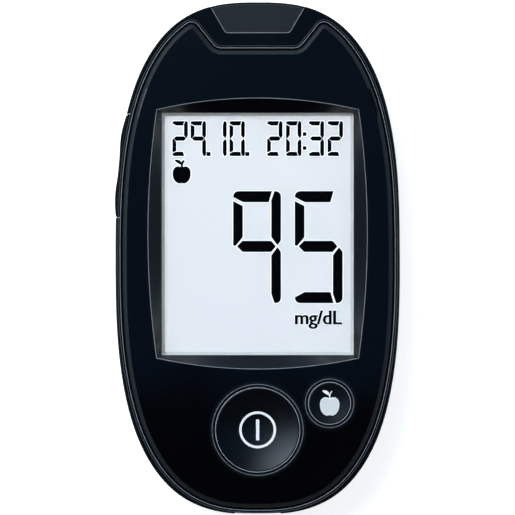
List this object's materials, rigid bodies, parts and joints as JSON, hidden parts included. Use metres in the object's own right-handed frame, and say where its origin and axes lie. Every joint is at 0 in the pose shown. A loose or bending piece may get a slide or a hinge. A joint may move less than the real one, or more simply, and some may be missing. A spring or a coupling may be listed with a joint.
{
  "type": "blood glucose meter",
  "caption": "Oval handheld blood glucose meter with a large display, face buttons, a rocker side key, a test-strip port and a hinged battery door.",
  "frame": {"origin": "middle of the case's outline, on the flat back that the meter lies on", "axes": "+Z out of the display, +Y towards the test-strip port, +X to the right of the reader"},
  "size_m": [0.0573, 0.1029, 0.0217],
  "materials": {
    "case_black": "fine satin moulding",
    "shell_black": "satin moulding",
    "panel_gloss": "high gloss",
    "port_grey": "fine matt moulding",
    "lens_clear": "clear and polished",
    "bezel_grey": "satin",
    "lcd_face": "smooth",
    "lcd_rear": "smooth",
    "diffuser_white": "frosted",
    "led_white": "clear resin",
    "holder_white": "fine matt",
    "zebra_rubber": "soft rubber",
    "board_green": "solder resist",
    "chip_black": "moulded",
    "crystal_metal": "bright can",
    "passive_tan": "ceramic",
    "buzzer_black": "moulded",
    "connector_black": "moulded",
    "contact_gold": "gold plated",
    "usb_metal": "folded sheet",
    "button_gloss": "high gloss",
    "dome_metal": "sprung sheet",
    "key_black": "satin moulding",
    "switch_grey": "moulded",
    "nub_rubber": "soft rubber",
    "cell_metal": "nickel-plated steel",
    "leaf_metal": "nickel-plated sheet",
    "screw_metal": "blackened steel"
  },
  "bodies": {
    "meter": {"rear_housing": "case_black", "front_housing": "shell_black", "front_panel": "panel_gloss", "strip_port_insert": "port_grey", "display_lens": "lens_clear", "display_bezel": "bezel_grey", "lcd_front_glass": "lcd_face", "lcd_rear_glass": "lcd_rear", "backlight_diffuser": "diffuser_white", "backlight_leds": "led_white", "lcd_holder": "holder_white", "zebra_connector": "zebra_rubber", "main_board": "board_green", "microcontroller": "chip_black", "memory_chip": "chip_black", "crystal": "crystal_metal", "passives": "passive_tan", "buzzer": "buzzer_black", "strip_connector": "connector_black", "strip_contacts": "contact_gold", "usb_shell": "usb_metal", "usb_insert": "connector_black", "power_dome": "dome_metal", "marker_dome": "dome_metal", "side_switch_upper": "switch_grey", "side_switch_lower": "switch_grey", "switch_nub_upper": "nub_rubber", "switch_nub_lower": "nub_rubber", "coin_cell_left": "cell_metal", "coin_cell_right": "cell_metal", "negative_contacts": "leaf_metal", "positive_contacts": "leaf_metal", "housing_screws": "screw_metal", "board_screws": "screw_metal"},
    "power": {"power_button": "button_gloss"},
    "marker": {"marker_button": "button_gloss"},
    "key": {"side_key": "key_black"},
    "door": {"battery_door": "case_black", "door_latch": "case_black"}
  },
  "joints": [
    {"name": "power_press", "type": "slide", "parent": "meter", "child": "power", "axis": [0, 0, -1], "range_m": [0, 0.00035], "stiffness_N_per_m": 4000, "deforming": ["power_dome"]},
    {"name": "marker_press", "type": "slide", "parent": "meter", "child": "marker", "axis": [0, 0, -1], "range_m": [0, 0.00035], "stiffness_N_per_m": 4000, "deforming": ["marker_dome"]},
    {"name": "side_key_rock", "type": "hinge", "parent": "meter", "child": "key", "pos_m": [-0.02507, 0.0185, 0.009], "axis": [0, 0, 1], "range_deg": [-1.6, 1.6], "stiffness_Nm_per_rad": 0.05, "deforming": ["switch_nub_upper", "switch_nub_lower"]},
    {"name": "battery_door_swing", "type": "hinge", "parent": "meter", "child": "door", "pos_m": [0, 0.00028, 0], "axis": [1, 0, 0], "range_deg": [0, 70], "deforming": ["door_latch"]}
  ]
}
